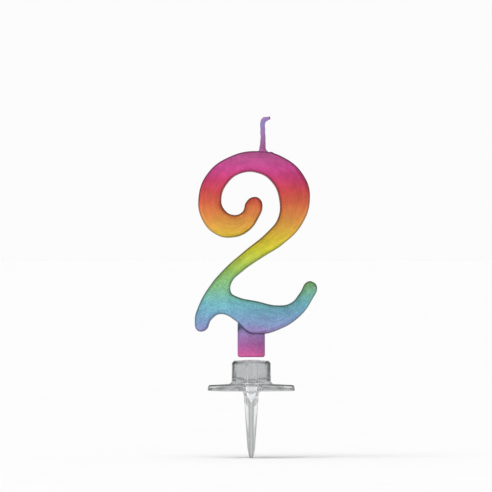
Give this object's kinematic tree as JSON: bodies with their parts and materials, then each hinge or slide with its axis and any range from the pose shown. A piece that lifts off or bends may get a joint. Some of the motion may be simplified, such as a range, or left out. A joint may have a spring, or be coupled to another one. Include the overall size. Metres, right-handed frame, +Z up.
{
  "type": "number birthday candle",
  "caption": "Cast wax candle in the shape of a curled figure two, with a short bent wick, that plugs into a clear cake pick with a round flange and a spike.",
  "frame": {"origin": "on the pick's axis, in the flat underside of its flange, where it stops on the icing", "axes": "+Z up along the spike and the numeral, +X to the right of the numeral seen from its front, front towards -Y"},
  "size_m": [0.0383, 0.0274, 0.1075],
  "materials": {
    "lacquered_wax": "rainbow pearl lacquer over cast wax, satin, brushed along the strokes",
    "cotton_yarn": "undyed cotton yarn, soaked in wax",
    "wick_dip_wax": "thin dip of violet wax and pearl lacquer",
    "clear_polystyrene": "clear polystyrene, polished mould finish"
  },
  "bodies": {
    "pick": {"cake_pick": "clear_polystyrene"},
    "candle": {"numeral_body": "lacquered_wax", "wick_yarn_1": "cotton_yarn", "wick_yarn_2": "cotton_yarn", "wick_yarn_3": "cotton_yarn", "wick_dip": "wick_dip_wax"}
  },
  "joints": [
    {"name": "candle_plug", "type": "slide", "parent": "pick", "child": "candle", "axis": [0, 0, 1], "range_m": [-0.0079, 0]}
  ]
}
